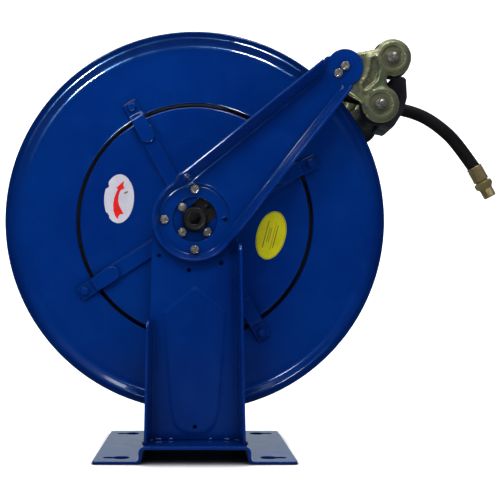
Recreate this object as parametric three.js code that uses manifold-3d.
// Spring-rewind hose reel with a dual-pedestal stand and a roller hose guide.
// Millimetres, +Z up. The reel's axis is parallel to Y; the front is -Y and the
// hose leaves towards +X. Pieces are laid out about the reel: x = 0 and z = 0 on
// its axis, y = 0 in the middle plane. The base, hose tail and hose end fittings
// have z = 0 on the floor instead. At the end the group is shifted so that the
// origin is the middle of the bounding box's bottom face.

import * as THREE from 'three';
import { mergeVertices } from 'three/addons/utils/BufferGeometryUtils.js';
import Module from 'manifold-3d';

const wasm = await Module();
wasm.setup();

// --------------------------------------------------------- shared dimensions
const AXIS_Z = 377;              // height of the reel axis above the floor
const GAP = 0.3;                 // air between neighbouring pieces
const SHEET = 5;                 // thickness of the base
const HAT_Z = 27.5;              // top of the base's raised middle
const WEB_FRONT = -92;           // y of the front post's web
const WEB_BACK = -88;
const ARM_PAD_BACK = -92.3;      // y of the front arm's steps
const ARM_WEB_BACK = -96.3;
const ARM_WEB_FRONT = -100.3;
const ARM_HEAD = [237, 240];
const HOLE_R = 3.6;              // bolt holes
const THROUGH = [-140, -70];     // y range of cutters that pass right through
const ARM_BOLT_R = 48;
const ARM_BOLT_ANGLES = [90, 180, 270];
const FLANGE_BOLT_R = 27.8;
const FLANGE_BOLT_ANGLES = [135, 225, 315];
const GUIDE_BOLTS = [[237.3, 241.3], [226.7, 230.2]];    // x, z
const ARBOR_R = 19;
const AXLE_CLEAR_R = 17.6;       // rear bores that the axle turns in
const AXLE_FIT_R = 17.4;         // bores of pieces fixed to the axle
const WATER_R = 8;               // water way
const DRUM_SHEET = 2.4;
const BARREL_R = 181;
const STRAP_ANGLES = [26.5, 119, 212.5, 301];
const HOSE_R = 10.5;
const WRAP_R = 277;              // centreline radius of the hose's outer layer
const LEAD_ANGLE = 75.5;         // where on the drum the hose leaves
const RATCHET_Y = [68.2, 73.4];  // ratchet wheel and pawl
const PAWL = [-45, -75];         // x, z of the pawl's pivot

// ------------------------------------------------------------------ materials
const paint = (settings) => new THREE.MeshStandardMaterial(settings);
const BLUE = paint({ color: 0x0b2f7d, roughness: 0.25, metalness: 0.3 });
const YELLOW_ZINC = paint({ color: 0xb9a867, roughness: 0.32, metalness: 0.9 });
const BRIGHT_ZINC = paint({ color: 0xc9c6bd, roughness: 0.28, metalness: 1 });
const BLACK_STEEL = paint({ color: 0x1b1b1d, roughness: 0.5, metalness: 0.6 });
const BLACK_PLASTIC = paint({ color: 0x151516, roughness: 0.55, metalness: 0 });
const RUBBER = paint({ color: 0x111112, roughness: 0.6, metalness: 0 });
const SPRING_STEEL = paint({ color: 0x4a4c52, roughness: 0.35, metalness: 1 });
const BRASS = paint({ color: 0xb08d57, roughness: 0.3, metalness: 1 });
const STEEL = paint({ color: 0x8d9096, roughness: 0.35, metalness: 1 });
const BRONZE = paint({ color: 0x8a6a3a, roughness: 0.4, metalness: 0.9 });

// ----------------------------------------------------------- solids and meshes
const rad = THREE.MathUtils.degToRad;
const polar = (r, deg) => [r * Math.cos(rad(deg)), r * Math.sin(rad(deg))];
const ringOf = (r, angles) => angles.map((deg) => polar(r, deg));

// welds a closed geometry into a manifold whose faces point outwards
function solid(geometry) {
  const loose = geometry.index ? geometry.toNonIndexed() : geometry.clone();
  for (const key of Object.keys(loose.attributes)) {
    if (key !== 'position') loose.deleteAttribute(key);
  }
  const welded = mergeVertices(loose, 1e-3);
  const positions = welded.attributes.position.array;
  const index = welded.index.array;
  const corner = (i) => new THREE.Vector3().fromArray(positions, 3 * i);
  const triangles = [];
  let volume = 0;
  for (let i = 0; i < index.length; i += 3) {
    const [a, b, c] = index.subarray(i, i + 3);
    if (a === b || b === c || a === c) continue;
    volume += corner(a).dot(corner(b).cross(corner(c)));
    triangles.push(a, b, c);
  }
  if (volume < 0) {
    for (let i = 0; i < triangles.length; i += 3) {
      [triangles[i], triangles[i + 1]] = [triangles[i + 1], triangles[i]];
    }
  }
  return new wasm.Manifold(new wasm.Mesh({
    numProp: 3,
    vertProperties: new Float32Array(positions),
    triVerts: new Uint32Array(triangles),
  }));
}

function geometryOf(piece) {
  const mesh = piece.getMesh();
  const g = new THREE.BufferGeometry();
  g.setAttribute('position', new THREE.BufferAttribute(new Float32Array(mesh.vertProperties), 3));
  g.setIndex(new THREE.BufferAttribute(new Uint32Array(mesh.triVerts), 1));
  g.computeVertexNormals();
  return g;
}

const union = (...parts) => parts.reduce((a, b) => a.add(b));
const cut = (piece, ...tools) => tools.reduce((a, b) => a.subtract(b), piece);

// turns a piece about the reel axis, anticlockwise as seen from the front
const spin = (piece, deg) => solid(geometryOf(piece).rotateY(-rad(deg)));
// the same piece on the other side of the middle plane
const mirrored = (piece) => solid(geometryOf(piece).scale(1, -1, 1));

const root = new THREE.Group();
function put(name, piece, material) {
  const mesh = new THREE.Mesh(geometryOf(piece), material);
  mesh.name = name;
  root.add(mesh);
}
// for pieces laid out about the reel axis
function onAxis(name, piece, material) {
  put(name, solid(geometryOf(piece).translate(0, 0, AXIS_Z)), material);
}
function pair(name, piece, material) {
  onAxis(`front_${name}`, piece, material);
  onAxis(`rear_${name}`, mirrored(piece), material);
}

// ---------------------------------------------------------------------- shapes
const shapeOf = (points) => new THREE.Shape(points.map(([a, b]) => new THREE.Vector2(a, b)));
const prism = (points, depth) =>
  new THREE.ExtrudeGeometry(shapeOf(points), { depth, bevelEnabled: false });

// a closed outline [x, z] made into a plate between y0 and y1
const plate = (points, y0, y1) =>
  solid(prism(points, y1 - y0).rotateX(Math.PI / 2).translate(0, y1, 0));

function moveVertices(g, move) {
  const p = g.attributes.position;
  for (let i = 0; i < p.count; i++) p.setXYZ(i, ...move(p.getX(i), p.getY(i), p.getZ(i)));
}

// a closed outline [y, z] made into a slab between x0 and x1, each vertex then moved
function slabYZ(points, x0, x1, move = (...point) => point) {
  const g = prism(points, x1 - x0);
  g.applyMatrix4(new THREE.Matrix4().makeBasis(
    new THREE.Vector3(0, 1, 0), new THREE.Vector3(0, 0, 1), new THREE.Vector3(1, 0, 0)));
  g.translate(x0, 0, 0);
  moveVertices(g, move);
  return solid(g);
}

// a cylinder parallel to Y
function rodY(r, y0, y1, seg, [x, z] = [0, 0], turn = 0) {
  const g = new THREE.CylinderGeometry(r, r, y1 - y0, seg, 1);
  return solid(g.rotateY(turn).translate(x, (y0 + y1) / 2, z));
}

// a cylinder or cone between two points
function rod(r, start, end, seg, endR = r) {
  const a = new THREE.Vector3(...start);
  const b = new THREE.Vector3(...end);
  const g = new THREE.CylinderGeometry(endR, r, a.distanceTo(b), seg, 1);
  g.applyQuaternion(new THREE.Quaternion().setFromUnitVectors(
    new THREE.Vector3(0, 1, 0), b.clone().sub(a).normalize()));
  return solid(g.translate((a.x + b.x) / 2, (a.y + b.y) / 2, (a.z + b.z) / 2));
}

// a closed profile [r, y] turned about a line parallel to Y
function turned(profile, seg, [x, z] = [0, 0]) {
  const points = profile.map(([r, y]) => new THREE.Vector2(r, y));
  if (profile[0][0] > 0) points.push(points[0].clone());
  return solid(new THREE.LatheGeometry(points, seg).translate(x, 0, z));
}

function box(x0, x1, y0, y1, z0, z1) {
  const g = new THREE.BoxGeometry(x1 - x0, y1 - y0, z1 - z0);
  return solid(g.translate((x0 + x1) / 2, (y0 + y1) / 2, (z0 + z1) / 2));
}

// a box whose eight corners are given: c[i][j][k] for low/high of three directions
function hexa(c) {
  const g = new THREE.BoxGeometry(1, 1, 1);
  moveVertices(g, (x, y, z) => c[x > 0 ? 1 : 0][y > 0 ? 1 : 0][z > 0 ? 1 : 0]);
  return solid(g);
}

// points [x, z] of n chords of a circle; the end point is left out of a full one
function circle(r, n, [x, z] = [0, 0], from = 0, to = 360) {
  const count = to - from === 360 ? n : n + 1;
  return Array.from({ length: count }, (_, i) => {
    const [dx, dz] = polar(r, from + (to - from) * i / n);
    return [x + dx, z + dz];
  });
}

// a round wire or hose along a smooth curve through the points
function sweep(r, sides, points, steps) {
  const extrudePath = new THREE.CatmullRomCurve3(points);
  return solid(new THREE.ExtrudeGeometry(shapeOf(circle(r, sides)),
    { extrudePath, steps, bevelEnabled: false }));
}

const hole = (r, seg, place) => rodY(r, ...THROUGH, seg, place);
const drill = (piece, places, r = HOLE_R) =>
  cut(piece, ...places.map((place) => hole(r, 8, place)));

// ------------------------------------------------------------------- the stand
// folded base sheet with four keyhole slots and clipped corners
function basePlate() {
  const halfX = 156, halfY = 157;
  const hatX = 85.5, hatInX = 81, hatChamfer = 2;
  const keyX = 114, keyEndX = 135.5, keyY = 122.5;
  const keyR = 12.5, slotR = 6.5, cornerCut = 4.8;
  const outline = [
    [-halfX, 0], [-hatInX, 0], [-hatInX, HAT_Z - SHEET], [hatInX, HAT_Z - SHEET], [hatInX, 0],
    [halfX, 0], [halfX, SHEET], [hatX, SHEET], [hatX, HAT_Z - hatChamfer],
    [hatX - hatChamfer, HAT_Z], [-hatX + hatChamfer, HAT_Z], [-hatX, HAT_Z - hatChamfer],
    [-hatX, SHEET], [-halfX, SHEET]];
  const upright = (r, x, y, seg) => rod(r, [x, y, -10], [x, y, 10], seg);
  let base = plate(outline, -halfY, halfY);
  for (const sx of [-1, 1]) {
    for (const sy of [-1, 1]) {
      const ends = [sx * keyX, sx * keyEndX];
      const y = sy * keyY;
      const keyhole = union(
        upright(keyR, ends[0], y, 16),
        upright(slotR, ends[1], y, 12),
        box(Math.min(...ends), Math.max(...ends), y - slotR, y + slotR, -10, 10));
      base = cut(base, keyhole, upright(cornerCut, sx * halfX, sy * halfY, 4));
    }
  }
  return base;
}

// front post: web with an open slot for the shaft, two outward flanges, raised panel
function post() {
  const topR = 68, footHalf = 73.4, foot = HAT_Z + GAP - AXIS_Z;
  const flangeEnd = -137, flangeSheet = 4;
  const slotHalf = 14, slotRun = 60;
  const lowHoles = ringOf(80.6, [225.3, 263.4, 301.4]);

  const web = plate([[-footHalf, foot], [footHalf, foot], ...circle(topR, 18, [0, 0], 0, 180)],
    WEB_FRONT, WEB_BACK);
  const slot = union(hole(19.8, 20), plate([[-slotHalf, slotHalf], [slotHalf, -slotHalf],
    [slotHalf + slotRun, -slotHalf + slotRun], [-slotHalf + slotRun, slotHalf + slotRun]],
  ...THROUGH));
  let piece = drill(cut(web, slot), lowHoles, 3.3);
  piece = drill(piece, ringOf(ARM_BOLT_R, [...ARM_BOLT_ANGLES, 0]));
  piece = drill(piece, ringOf(FLANGE_BOLT_R, FLANGE_BOLT_ANGLES));

  // the flanges follow the web's tapered edge and flare away from it
  const edge = (z) => footHalf - (z - foot) * (footHalf - topR) / -foot;
  const flare = (z, y) => (4.2 + 1.4 * (z / foot)) * Math.max(0, (-y + WEB_BACK) / 45);
  const flange = (side, top) => slabYZ([
    [WEB_BACK, foot], [flangeEnd, foot], [flangeEnd, top - 16],
    [flangeEnd + 5, top - 5], [flangeEnd + 16, top], [WEB_BACK, top + 3]], 0, flangeSheet,
  (x, y, z) => [side * (x - 3.9 + edge(z) + flare(z, y)), y, z]);
  piece = union(piece, flange(-1, 210 - AXIS_Z), flange(1, 322 - AXIS_Z));

  // stepped raised panel, hollow behind; heights are from the floor
  const panel = (inset, y0, y1) => {
    const right = [[53 - inset, 231 - inset * 0.6], [40 - inset, 67], [34 - inset, 48],
      [20 - inset * 0.6, 37 + inset * 0.8]];
    const left = right.map(([x, z]) => [-x, z]).reverse();
    const outline = [[0, 274 - inset], ...right, [0, 33.5 + inset], ...left];
    return plate(outline.map(([x, z]) => [x, z - AXIS_Z]), y0, y1);
  };
  piece = union(piece, panel(0, -94.5, -91), panel(2.5, -96.2, -91));
  return cut(piece, panel(4.5, -92.6, -80), hole(3.5, 8, [0, 48 - AXIS_Z]));
}

// front guide arm: dished hub bolted to the post, channel-shaped arm, flat head
function arm() {
  const hubR = 67, bendR = 57, openingR = 35.5, headR = 29;
  const flangeEnd = -131, flangeSheet = 4;
  const angle = Math.atan2(ARM_HEAD[1], ARM_HEAD[0]);
  const taper = Math.asin((hubR - headR) / Math.hypot(...ARM_HEAD));

  // each long edge has a frame: distance along it, and outwards from the reel axis
  const edgeFrame = (side) => {
    const a = angle + side * taper;
    const along = [Math.cos(a), Math.sin(a)];
    return { along, out: [side * along[1], -side * along[0]] };
  };
  const at = ({ along, out }, t, n) => [along[0] * t + out[0] * n, along[1] * t + out[1] * n];
  const lower = edgeFrame(1), upper = edgeFrame(-1);

  const web = cut(plate([at(lower, -8, 55), at(lower, 292, 55),
    ...circle(headR, 12, ARM_HEAD, -52, 144),
    at(upper, 292, 51), at(upper, -2, 51)], ARM_WEB_FRONT, ARM_WEB_BACK), hole(bendR + 1.5, 28));
  const pad = cut(rodY(bendR + 3.5, ARM_WEB_FRONT, ARM_PAD_BACK, 28),
    rodY(bendR, THROUGH[0], ARM_WEB_BACK, 28), hole(openingR, 24));
  // rim of the dish, opened where the arm leaves it
  const lip = cut(turned([[bendR + 2, ARM_PAD_BACK], [hubR - 1, ARM_WEB_FRONT],
    [hubR, ARM_WEB_FRONT - 9], [hubR - 3.6, ARM_WEB_FRONT - 9],
    [hubR - 5, ARM_WEB_FRONT - 1]], 28),
  plate([at(lower, -6, 56), at(lower, 200, 56), at(upper, 200, 52), at(upper, 8, 52)],
    THROUGH[0], ARM_WEB_FRONT - 0.5));

  // flanges along both edges lean outwards; their ends are cut back towards the rim
  const flange = (edge, { root: rootN, rim, from, to, fromCut, toCut }) => {
    const rootY = ARM_WEB_BACK - 0.5;
    const point = (t, n, y) => {
      const [x, z] = at(edge, t, n);
      return [x, y, z];
    };
    const end = (t, rimT) => [
      [point(t, rootN - flangeSheet, rootY), point(t, rootN + 0.6, rootY)],
      [point(rimT, rim - flangeSheet, flangeEnd), point(rimT, rim, flangeEnd)]];
    return hexa([end(from, from + fromCut), end(to, to - toCut)]);
  };
  const piece = union(web, pad, lip,
    flange(lower, { root: 57, rim: 68.5, from: 2, to: 310, fromCut: 26, toCut: 8 }),
    flange(upper, { root: 53, rim: 66.5, from: 8, to: 312, fromCut: 12, toCut: 12 }));
  return drill(piece, [...ringOf(ARM_BOLT_R, [0, ...ARM_BOLT_ANGLES]), ...GUIDE_BOLTS]);
}

// pillow flange that carries a shaft, on the inner side of the post
function bearingFlange(boreR) {
  const half = 38, corner = 26;
  const outline = [[-half, -corner], [-corner, -half], [corner, -half], [half, -corner],
    [half, corner], [corner, half], [-corner, half], [-half, corner]];
  const blank = union(plate(outline, WEB_BACK + GAP, -80.5), rodY(27, -81, -76, 20));
  const drilled = drill(blank, ringOf(FLANGE_BOLT_R, [45, ...FLANGE_BOLT_ANGLES]));
  return cut(drilled, hole(boreR, 20));
}

// fixed spring arbor with a hexagon socket in its front end and a slot in its side
function springArbor() {
  const front = -112, back = -4, socketAcrossFlats = 17.5;
  const body = turned([[0, front], [16.5, front], [ARBOR_R, front + 2.5],
    [ARBOR_R, back], [0, back]], 20);
  const socket = rodY(socketAcrossFlats / Math.sqrt(3), front - 2, front + 16, 6, [0, 0], rad(30));
  return cut(body, socket, box(15, 20, -52, -8, -3, 3));
}

// hexagon bolts, head and shank in one piece; places are [x, z, turn in degrees]
function putBolts(name, places, seatY, endY) {
  const acrossFlats = 11.6, headHeight = 5, shankR = 3.1;
  places.forEach(([x, z, turn], i) => pair(`${name}_${i + 1}`, union(
    rodY(acrossFlats / Math.sqrt(3), seatY - headHeight, seatY, 6, [x, z], rad(turn)),
    rodY(shankR, seatY - 0.5, endY, 8, [x, z])), BRIGHT_ZINC));
}

put('base_plate', basePlate(), BLUE);
pair('post', post(), BLUE);
pair('arm', arm(), BLUE);
onAxis('front_bearing_flange', bearingFlange(ARBOR_R + 0.5), BLACK_STEEL);
onAxis('rear_bearing_flange', mirrored(bearingFlange(AXLE_CLEAR_R)), BLACK_STEEL);
onAxis('spring_arbor', springArbor(), BLACK_STEEL);
putBolts('arm_bolt', ARM_BOLT_ANGLES.map((a) => [...polar(ARM_BOLT_R, a), a * 1.3]),
  ARM_WEB_BACK - GAP, -83);
putBolts('flange_bolt', FLANGE_BOLT_ANGLES.map((a) => [...polar(FLANGE_BOLT_R, a), a]),
  WEB_FRONT - GAP, -77.5);
putBolts('guide_bolt', GUIDE_BOLTS.map((place, i) => [...place, 17 * (i + 1)]),
  ARM_WEB_FRONT - GAP, -88);

// -------------------------------------------------------------- the hose guide
// frame of the straight hose: distance along it, and outwards from its centreline
const LEAD_ALONG = polar(1, LEAD_ANGLE - 90);
const LEAD_OUT = polar(1, LEAD_ANGLE);
const leadPoint = (along, out) => [0, 1].map(
  (i) => LEAD_ALONG[i] * along + LEAD_OUT[i] * (WRAP_R + out));
const ROLLER_ALONG = 239.3;
const UPPER_ROLLER = leadPoint(ROLLER_ALONG, 50.4);
const LOWER_ROLLER = leadPoint(ROLLER_ALONG, -25.8);

// front plate with a round lobe for each roller and one at the arm's head
function guidePlate() {
  const outline = [      // x, z
    [226, 255], [253.6, 265], [288, 271.5], [313, 270], [322, 240], [306, 236], [304.5, 214],
    [312, 196], [290, 170], [268, 178], [264, 186], [248, 196], [222, 222]];
  const faces = [-96, -93];
  const lobeR = 30, headLobeR = 19, pinHoleR = 6.3;
  const blank = union(
    plate(outline, ...faces),
    rodY(lobeR, ...faces, 24, UPPER_ROLLER),
    rodY(lobeR, ...faces, 24, LOWER_ROLLER),
    rodY(headLobeR, ...faces, 14, [232, 236]));
  const bored = cut(blank, hole(pinHoleR, 12, UPPER_ROLLER), hole(pinHoleR, 12, LOWER_ROLLER));
  return drill(bored, GUIDE_BOLTS);
}

const rollerPin = (place) => turned([[0, -103], [4.4, -101.5], [5.9, -97.5], [5.9, 97.5],
  [4.4, 101.5], [0, 103]], 12, place);

// waisted roller
function roller(place) {
  const half = 84, boreR = 6.4, endR = 30, shoulderR = 20, waistR = 15;
  return turned([[boreR, -half], [endR, -half],
    [endR, -half + 6], [shoulderR, -half + 20], [waistR, -half + 46],
    [waistR, half - 46], [shoulderR, half - 20], [endR, half - 6],
    [endR, half], [boreR, half]], 20, place);
}

pair('guide_plate', guidePlate(), YELLOW_ZINC);
onAxis('upper_roller_pin', rollerPin(UPPER_ROLLER), BRIGHT_ZINC);
onAxis('lower_roller_pin', rollerPin(LOWER_ROLLER), BRIGHT_ZINC);
onAxis('upper_roller', roller(UPPER_ROLLER), BLACK_PLASTIC);
onAxis('lower_roller', roller(LOWER_ROLLER), BLACK_PLASTIC);

// -------------------------------------------------------------------- the drum
// front flange ring with a rolled bead at its rim
function flangeRing() {
  const innerR = 194, outerR = 305, face = -60, bead = -72;
  return turned([[innerR, face], [283, face], [297, bead],
    [outerR - 1.5, bead + 1], [outerR, bead + 9], [outerR - DRUM_SHEET, bead + 9],
    [outerR - 4, bead + 3.5], [298, bead + 2.6], [284, face + DRUM_SHEET],
    [innerR, face + DRUM_SHEET]], 44);
}

// front hub disc with a turned-in rim and a raised rib under each strap
function hubDisc(boreR) {
  const outerR = 184, face = -62, rimSheet = 2.2;
  const disc = turned([[boreR, face], [outerR - 2, face], [outerR, face + 4],
    [outerR, face + 7], [outerR - rimSheet, face + 7], [outerR - rimSheet, face + DRUM_SHEET],
    [boreR, face + DRUM_SHEET]], 40);
  const rib = slabYZ([[face + 1, -14], [face - 0.5, -14], [face - 5, -10.5],
    [face - 5, 10.5], [face - 0.5, 14], [face + 1, 14]], 62, 176);
  return union(disc, ...STRAP_ANGLES.map((deg) => spin(rib, deg)));
}

// joggled strap from a rib to the flange ring: inner end rounded, hexagon head outside
function strap() {
  const width = 23.4;
  const side = [         // r, y
    [146, -67.3], [190, -67.3], [197.5, -60.3], [221, -60.3],
    [221, -64.3], [199, -64.3], [191.5, -71.3], [146, -71.3]];
  const blank = solid(prism(side, width).translate(0, 0, -width / 2));
  const endRounder = cut(box(140, 152, -80, -60, -20, 20),
    rodY(width / 2, -90, -50, 16, [157.5, 0]));
  return union(cut(blank, endRounder), rodY(6.8, -69.3, -64, 6, [211, 0], rad(30)));
}

const drumBarrel = () => turned([[BARREL_R - 2.3, -58], [BARREL_R, -58], [BARREL_R, 58],
  [BARREL_R - 2.3, 58]], 40);

// hose layers on the drum, as one body with a grooved outside
function hoseWraps() {
  const pitch = 2 * HOSE_R, halfWidth = 2.5 * pitch;
  const innerR = BARREL_R + 0.4, sideR = 254, crestR = 265.8, grooveR = 258;
  const profile = [[innerR, -halfWidth], [sideR, -halfWidth]];
  for (let i = -2; i <= 2; i++) {
    profile.push([crestR, i * pitch]);
    if (i < 2) profile.push([grooveR, (i + 0.5) * pitch]);
  }
  profile.push([sideR, halfWidth], [innerR, halfWidth]);
  return turned(profile, 40);
}

// the water way from the inlet to the hose: hollow axle, then a riser with a bent end
const RISER_Y = 40;
function drumAxle() {
  const body = turned([[0, 4], [16.6, 4], [16.6, 62], [17, 64], [17, 100], [14, 101],
    [14, 122], [0, 122]], 20);
  return cut(body, rodY(WATER_R, 30, 130, 12),
    rod(WATER_R, [0, RISER_Y, 0], [0, RISER_Y, 40], 14));
}
function hoseRiser() {
  const tubeR = 12;
  const on = (z) => [0, RISER_Y, z];
  const tube = union(rod(tubeR, on(17.2), on(150), 12), rod(tubeR, on(150), [25, 22, 163], 12));
  return cut(tube, rod(WATER_R, on(10), on(149), 10), rod(WATER_R, on(146), [32, 17, 170], 10),
    rodY(AXLE_FIT_R, 0, 80, 20));
}

// flanged bush between the arbor and the front hub disc
function springBush() {
  const boreR = ARBOR_R + 0.4;
  return turned([[boreR, -73], [28, -73], [28, -62.4], [24.2, -62.4], [24.2, -58],
    [boreR, -58]], 20);
}

function springCase() {
  const outerR = 108, front = -57, back = -1, wall = 2;
  return cut(turned([[0, front], [outerR, front], [outerR, back], [0, back]], 32),
    rodY(outerR - wall, front + wall, back - wall, 32), rodY(ARBOR_R + 2, -60, 5, 20));
}

function powerSpring() {
  const turns = 4, stepsPerTurn = 18, startR = 24, endR = 101, thickness = 2.4;
  const steps = turns * stepsPerTurn;
  const spiral = (r) => Array.from({ length: steps + 1 }, (_, i) =>
    polar(r + (endR - startR) * i / steps, i * 360 / stepsPerTurn));
  return plate([...spiral(startR), ...spiral(startR + thickness).reverse()], -53, -6);
}

function ratchetWheel() {
  const lugs = 12, phase = 218.8, rootR = 52, tipR = 62;
  const outline = [];
  for (let i = 0; i < lugs; i++) {
    const a = phase + 360 * i / lugs;
    outline.push(...ringOf(rootR, [a - 8, a + 8]), ...ringOf(tipR, [a + 10, a + 17]));
  }
  return cut(plate(outline, ...RATCHET_Y), rodY(AXLE_FIT_R, 60, 80, 20));
}

// pawl: a large round at the pivot tapering to a small round at the tip
function pawl() {
  const reach = [-10.7, 36];
  const tip = [PAWL[0] + reach[0], PAWL[1] + reach[1]];
  const a = THREE.MathUtils.radToDeg(Math.atan2(reach[1], reach[0]));
  return cut(plate([...circle(9, 12, PAWL, a + 80, a + 280),
    ...circle(3.2, 8, tip, a - 100, a + 80)], ...RATCHET_Y), rodY(4.6, 60, 80, 10, PAWL));
}

const pawlPin = () => union(rodY(4, 67.5, 87.7, 12, PAWL), rodY(7.5, 75, 76.5, 12, PAWL));

// coil spring round the pawl's pin
function pawlSpring() {
  const coilR = 7, wireR = 0.9, startY = 79, pitch = 3, turns = 2, stepsPerTurn = 10;
  const steps = turns * stepsPerTurn;
  const points = Array.from({ length: steps + 1 }, (_, i) => {
    const [x, z] = polar(coilR, i * 360 / stepsPerTurn);
    return new THREE.Vector3(PAWL[0] + x, startY + i * pitch / stepsPerTurn, PAWL[1] + z);
  });
  return sweep(wireR, 5, points, steps);
}

// water inlet elbow on the axle's rear end, with its outlet pointing down
function inletSwivel() {
  const on = (z) => [0, 134, z];
  const body = union(
    turned([[0, 103], [19, 103], [21, 105], [21, 145], [18, 149], [0, 149]], 20),
    rod(12.5, on(-15), on(-44), 14),
    rod(15, on(-42), on(-56), 6));
  return cut(body, rodY(14.6, 90, 124, 20), rodY(WATER_R, 120, 138, 12),
    rod(WATER_R, on(0), on(-60), 12));
}

pair('flange_ring', flangeRing(), BLUE);
onAxis('front_hub_disc', hubDisc(24.6), BLUE);
onAxis('rear_hub_disc', mirrored(hubDisc(AXLE_CLEAR_R)), BLUE);
STRAP_ANGLES.forEach((deg, i) => pair(`strap_${i + 1}`, spin(strap(), deg), BLUE));
onAxis('drum_barrel', drumBarrel(), BLUE);
onAxis('hose_wraps', hoseWraps(), RUBBER);
onAxis('drum_axle', drumAxle(), STEEL);
onAxis('hose_riser', hoseRiser(), STEEL);
onAxis('spring_bush', springBush(), BRONZE);
onAxis('spring_case', springCase(), BLACK_STEEL);
onAxis('power_spring', powerSpring(), SPRING_STEEL);
onAxis('ratchet_wheel', ratchetWheel(), STEEL);
onAxis('pawl', pawl(), STEEL);
onAxis('pawl_pin', pawlPin(), BRIGHT_ZINC);
onAxis('pawl_spring', pawlSpring(), SPRING_STEEL);
onAxis('inlet_swivel', inletSwivel(), BRASS);

// -------------------------------------------------------------------- the hose
// centreline of the hose's free end: x, height above the floor
const TAIL = [
  [348.2, 573.1], [366, 568.6], [385.6, 561.2], [404, 550.6], [421.6, 537.3],
  [435.5, 524.2], [447.8, 509.5], [461.5, 491], [475.1, 472]];
const FITTING_END = [501.2, 424.9];

// a straight rod along the hose's lead
function leadRod(r, from, to) {
  const [start, end] = [from, to].map((along) => {
    const [x, z] = leadPoint(along, 0);
    return [x, 0, z];
  });
  return rod(r, start, end, 16);
}

// one half of the stop block clamped round the hose
function hoseStop(y0, y1) {
  const profile = [      // along the lead, outwards
    [256.5, 40], [259, 43], [275, 43], [279, 40], [288, 12],
    [288, -12], [279, -40], [275, -43], [259, -43], [256.5, -40]];
  return cut(plate(profile.map(([along, out]) => leadPoint(along, out)), y0, y1),
    leadRod(HOSE_R + 0.5, 240, 300));
}

function hoseTail() {
  const [x, z] = leadPoint(256.8, 0);
  const points = [[x, z + AXIS_Z], ...TAIL].map(([px, pz]) => new THREE.Vector3(px, 0, pz));
  return sweep(HOSE_R, 14, points, 15);
}

// points on the fittings' axis, by distance past the end of the hose
const HOSE_END = new THREE.Vector3(TAIL.at(-1)[0], 0, TAIL.at(-1)[1]);
const FITTING_RUN = new THREE.Vector3(FITTING_END[0], 0, FITTING_END[1]).sub(HOSE_END);
const FITTING_DIR = FITTING_RUN.clone().normalize();
const pastEnd = (t) => HOSE_END.clone().addScaledVector(FITTING_DIR, t).toArray();
const fittingRod = (r, from, to, seg, endR = r) => rod(r, pastEnd(from), pastEnd(to), seg, endR);

// the ferrule's mouth is flared a little over the hose, which still curves there
const hoseFerrule = () => cut(
  union(fittingRod(13.6, -12, 6, 18), fittingRod(9, 5.5, 9, 12)),
  fittingRod(13, -13, -5, 18, 12),
  fittingRod(12, -6, 2.2, 18),
  fittingRod(5.2, -1, 20, 10));

// hexagon and round spout
function hoseFitting() {
  const length = FITTING_RUN.length(), spoutR = 9.6;
  return cut(
    union(fittingRod(13.9, 9.3, 26, 6), fittingRod(spoutR, 25.5, length - 1.5, 16),
      fittingRod(spoutR, length - 2, length, 16, spoutR - 1)),
    fittingRod(5, 5, length + 5, 10));
}

onAxis('hose_run', leadRod(HOSE_R, 0, 254), RUBBER);
onAxis('hose_stop_front', hoseStop(-38, -0.2), BLACK_PLASTIC);
onAxis('hose_stop_rear', hoseStop(0.2, 38), BLACK_PLASTIC);
put('hose_tail', hoseTail(), RUBBER);
put('hose_ferrule', hoseFerrule(), BRIGHT_ZINC);
put('hose_fitting', hoseFitting(), BRASS);

// origin: middle of the bottom of the whole object's box
const bounds = new THREE.Box3().setFromObject(root, true);
const center = bounds.getCenter(new THREE.Vector3());
root.position.set(-center.x, -center.y, -bounds.min.z);
root.updateMatrixWorld(true);
export default root;
